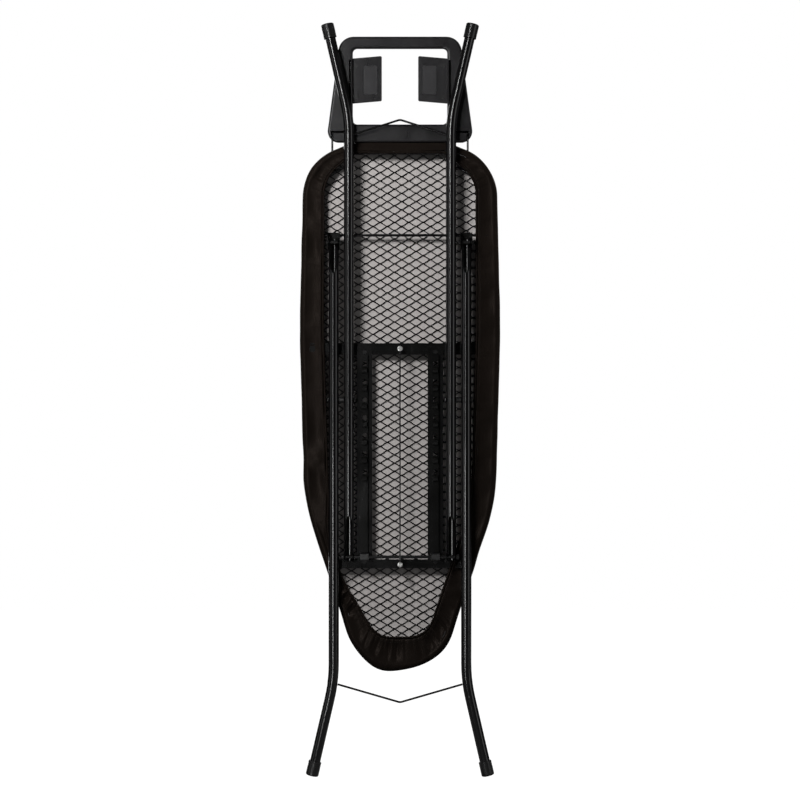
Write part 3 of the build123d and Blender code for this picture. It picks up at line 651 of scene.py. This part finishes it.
# ------------------------------------------------------------------------- expanded-metal top
def expanded_mesh():
    """Slit and stretched steel: every strand is tilted the same way, and strands meet in long knots."""
    border, border_out, _ = outline(COVER_CORNERS, inset=MESH_INSET)
    half_diamond = np.array(DIAMOND) / 2
    points, faces = [], []

    def inside(place):
        away = place - border
        nearest = np.argmin((away**2).sum(1))
        return away[nearest] @ border_out[nearest] < 0

    def bar(a, b, wide, steps, swell=0.0, sway=0.0):
        """A bar from a to b in the mesh's plane, tilted so that its upper side faces the room.

        It swells towards its ends, and sways in an S so that it leaves its knots more level.
        """
        axis = (b - a) / np.linalg.norm(b - a)
        side = np.array((-axis[1], axis[0]))
        side = side if side[1] > 0 else -side
        cos, sin = math.cos(STRAND_TILT), math.sin(STRAND_TILT)
        wide_way = np.array((side[0] * cos, -sin, side[1] * cos))
        deep_way = np.cross(np.array((axis[0], 0, axis[1])), wide_way)
        start = len(points)
        for t in (k / steps for k in range(steps + 1)):
            place = a + (b - a) * t
            centre = np.array((place[0], mesh_y, place[1] - sway * math.sin(2 * math.pi * t)))
            half = wide * (1 + swell * (2 * t - 1) ** 2) / 2
            for i, j in ((-1, -1), (1, -1), (1, 1), (-1, 1)):
                points.append(centre + wide_way * i * half + deep_way * j * STRAND_T / 2)
        for k in range(steps):
            for i in range(4):
                p, q = start + 4 * k + i, start + 4 * k + (i + 1) % 4
                faces.append((p, q, q + 4, p + 4))
        faces.append((start + 3, start + 2, start + 1, start))
        end = start + 4 * steps
        faces.append((end, end + 1, end + 2, end + 3))

    lattice = [
        np.array((LATTICE_X, 0.0)) + half_diamond * (column, row)
        for column in KNOT_COLUMNS
        for row in KNOT_ROWS
        if (column + row) % 2 == 0
    ]
    for knot in filter(inside, lattice):
        bar(knot - (KNOT_HALF, 0), knot + (KNOT_HALF, 0), KNOT_WIDER * STRAND_W, 4, KNOT_TAPER)
        for way in ((1, 1), (-1, 1), (1, -1), (-1, -1)):
            strand = half_diamond * way
            if not inside(knot + strand):
                share = next(s for s in np.linspace(1, 0, 15) if inside(knot + strand * s))
                if share > SHORTEST_STUB:
                    bar(knot, knot + strand * share, STRAND_W, 1)
            elif way[1] > 0:
                bar(knot, knot + strand, STRAND_W, 6, sway=STRAND_SWAY)
    piece = add_mesh("expanded_metal", points, faces, MATERIALS["mesh_enamel"], smooth=False)
    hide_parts("mesh_top")


# ------------------------------------------------------------------------- hem stitching and elastic
def stitches(line):
    """A line of stitches that closes the casing of the elastic, lying on the gathered hem."""
    closed = np.concatenate([line, line[:1]])
    at = np.concatenate([[0], np.cumsum(np.linalg.norm(np.diff(closed, axis=0), axis=1))])
    up = np.array((0.0, -1.0, 0.0))
    sides, rings = 6, len(STITCH_SHAPE)
    points, faces = [], []

    def spot(distance):
        return np.array([np.interp(distance, at, closed[:, k]) for k in range(3)])

    for i in range(int(at[-1] / STITCH_PITCH)):
        near, far = spot(i * STITCH_PITCH), spot(i * STITCH_PITCH + STITCH_LENGTH)
        side = np.cross(far - near, up)
        side = side / np.linalg.norm(side)
        start = len(points)
        for t, rise, thin in STITCH_SHAPE:
            centre = near * (1 - t) + far * t + up * (CLOTH_T * 0.1 + rise * MM)
            for angle in (2 * math.pi * k / sides for k in range(sides)):
                points.append(centre + STITCH_R * thin * (side * math.cos(angle) + up * math.sin(angle)))
        faces.extend(tuple(start + p for p in face) for face in grid_faces(rings, sides))
        faces.append(tuple(start + j for j in reversed(range(sides))))
        faces.append(tuple(start + (rings - 1) * sides + j for j in range(sides)))
    piece = add_mesh("hem_stitching", points, faces, MATERIALS["hem_thread"])
    return piece


def hem_elastic(line):
    """The elastic cord inside the casing."""
    sides = 8
    ahead = np.roll(line, -1, axis=0) - np.roll(line, 1, axis=0)
    ahead /= np.linalg.norm(ahead, axis=1)[:, None]
    side = np.cross(ahead, (0.0, 1.0, 0.0))
    side /= np.linalg.norm(side, axis=1)[:, None]
    up = np.cross(side, ahead)
    turns = np.linspace(0, 2 * math.pi, sides + 1)[:-1]
    points = [line + ELASTIC_R * (math.cos(a) * side + math.sin(a) * up) for a in turns]
    faces = grid_faces(sides, len(line), closed_rows=True)
    piece = add_mesh("hem_elastic", np.concatenate(points), faces, MATERIALS["elastic_band"])
    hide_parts("cover_elastic")
    return piece


rows, elastic_line = cover_rows()
cover = fitted_cover(rows)
felt_pad()
expanded_mesh()
stitching = stitches(rows[STITCH_ROW])
elastic = hem_elastic(elastic_line)


# ------------------------------------------------------------------------- stage, camera and light
def area_light(name, place, target, size, power, mirrored=True, lighting=True):
    """A soft box aimed at a target, which leaves highlights or lights matt faces, or both."""
    light = bpy.data.lights.new(name, "AREA")
    light.shape = "RECTANGLE"
    light.size, light.size_y = size
    light.energy = power
    lamp = bpy.data.objects.new(name, light)
    lamp.visible_glossy = mirrored
    lamp.visible_diffuse = lighting
    lamp.visible_camera = False
    lamp.location = place
    lamp.rotation_euler = (Vector(target) - Vector(place)).to_track_quat("-Z", "Y").to_euler()
    bpy.context.scene.collection.objects.link(lamp)


def floor():
    """A floor that glows white to the camera and is dark to the object, whose enamel keeps its depth."""
    material, tree, shader, place = start_material("floor_paper")
    tone = blend_colour(tree, noise(tree, place, 3, 2), (0.020, 0.020, 0.019), (0.035, 0.035, 0.034))
    connect(
        tree, shader, Base_Color=tone, Roughness=0.85, Specular_IOR_Level=0.0,
        Emission_Color=(1.0, 1.0, 1.0), Emission_Strength=1.0,
    )
    dark = add_node(tree, "BsdfDiffuse", {"Color": (0.05, 0.05, 0.05, 1)})
    ray = add_node(tree, "LightPath").outputs
    mixed = add_node(
        tree, "MixShader", {0: ray["Is Camera Ray"], 1: dark.outputs[0], 2: shader.outputs[0]}
    )
    output = next(n for n in tree.nodes if n.type == "OUTPUT_MATERIAL")
    tree.links.new(mixed.outputs[0], output.inputs["Surface"])
    mesh = bpy.data.meshes.new("floor")
    corners = [(x * FLOOR_HALF, y * FLOOR_HALF, 0) for x, y in ((-1, -1), (1, -1), (1, 1), (-1, 1))]
    mesh.from_pydata(corners, [], [(0, 1, 2, 3)])
    mesh.materials.append(material)
    piece = bpy.data.objects.new("floor", mesh)
    bpy.context.scene.collection.objects.link(piece)


def world():
    """White behind the object, a soft light from all round, and a dark room in its reflections."""
    made = bpy.data.worlds.new("studio")
    made.use_nodes = True
    tree = made.node_tree
    ray = add_node(tree, "LightPath").outputs
    lit = maths(tree, "MULTIPLY", ray["Is Diffuse Ray"], ROOM_LIGHT)
    seen = maths(tree, "MAXIMUM", ray["Is Camera Ray"], lit)
    strength = maths(tree, "MAXIMUM", seen, ROOM_GLOSS)
    background = add_node(tree, "Background", {"Color": (1, 1, 1, 1), "Strength": strength})
    output = next(n for n in tree.nodes if n.type == "OUTPUT_WORLD")
    tree.links.new(background.outputs[0], output.inputs["Surface"])
    bpy.context.scene.world = made


def camera():
    """A camera that looks straight at the underside, from the height of the board's middle."""
    made = bpy.data.objects.new("camera", bpy.data.cameras.new("camera"))
    made.data.lens = CAMERA_LENS
    made.data.sensor_width = CAMERA_SENSOR
    made.location = (0, leg_y - CAMERA_BACK, CAMERA_HEIGHT)
    made.rotation_euler = (math.pi / 2, 0, 0)
    bpy.context.scene.collection.objects.link(made)
    bpy.context.scene.camera = made
    bpy.context.scene.view_settings.view_transform = "Standard"


floor()
world()
camera()
# The keys light the felt and the cloth. Most strips only leave highlights on the enamel.
area_light("key", (-1.2, -1.9, 2.6), (0, 0, 1.25), (0.8, 0.8), 132, mirrored=False)
area_light("upper_strip", (-1.15, -2.85, 1.85), (0, 0, 1.2), (0.2, 0.9), 26, lighting=False)
area_light("long_strip", (-1.15, -2.85, 0.95), (0, 0, 0.9), (0.2, 1.9), 12, lighting=False)
area_light("low_strip", (-0.46, -1.1, 0.3), (0, 0, 0.3), (0.08, 0.6), 3.4, lighting=False)
area_light("fill_strip", (2.6, -1.5, 1.0), (0, 0, 0.75), (1.2, 2.4), 12)
area_light("left_strip", (-2.7, -1.1, 0.9), (0, 0, 0.75), (0.5, 2.2), 5, lighting=False)
area_light("back_key", (2.3, 1.5, 2.1), (0, 0, 0.8), (0.8, 0.8), 560, mirrored=False)
area_light("back_strip", (-1.7, 2.5, 0.9), (0, 0, 0.8), (0.5, 2.4), 24)
bpy.context.view_layer.update()
